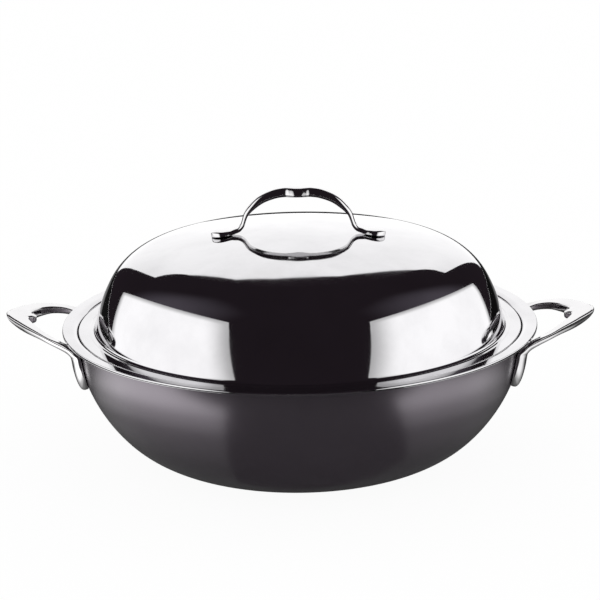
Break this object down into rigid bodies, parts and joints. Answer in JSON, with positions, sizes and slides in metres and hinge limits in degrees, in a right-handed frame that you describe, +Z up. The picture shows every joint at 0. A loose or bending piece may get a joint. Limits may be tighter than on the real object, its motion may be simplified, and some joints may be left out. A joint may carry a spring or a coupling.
{
  "type": "wok",
  "caption": "Deep flat-based wok of dark satin metal with a flared rim, cast loop side handles and a lift-off domed lid with an arched strap handle.",
  "frame": {"origin": "centre of the wok's flat base, on the surface it stands on", "axes": "+X along the line through both side handles, to the handle on the right of the side seen in the picture; +Y away from that side; +Z up, the way the lid lifts off"},
  "size_m": [0.4674, 0.377, 0.2197],
  "materials": {
    "dark_satin_metal": "hard-anodised satin outside, with a polished steel lining and rim",
    "polished_steel": "spun stainless steel, mirror polished",
    "cast_steel": "cast stainless steel, mirror polished",
    "rivet_steel": "stainless steel, brushed"
  },
  "bodies": {
    "wok": {"wok_body": "dark_satin_metal", "side_handle_left": "cast_steel", "side_handle_right": "cast_steel", "rivet_left_front_upper": "rivet_steel", "rivet_left_front_lower": "rivet_steel", "rivet_left_back_upper": "rivet_steel", "rivet_left_back_lower": "rivet_steel", "rivet_right_front_upper": "rivet_steel", "rivet_right_front_lower": "rivet_steel", "rivet_right_back_upper": "rivet_steel", "rivet_right_back_lower": "rivet_steel"},
    "lid": {"lid_shell": "polished_steel", "lid_handle": "cast_steel", "lid_rivet_left_inner": "rivet_steel", "lid_rivet_left_outer": "rivet_steel", "lid_rivet_right_inner": "rivet_steel", "lid_rivet_right_outer": "rivet_steel"}
  },
  "joints": [
    {"name": "lid_lift", "type": "slide", "parent": "wok", "child": "lid", "axis": [0, 0, 1], "range_m": [0, 0.15]}
  ]
}
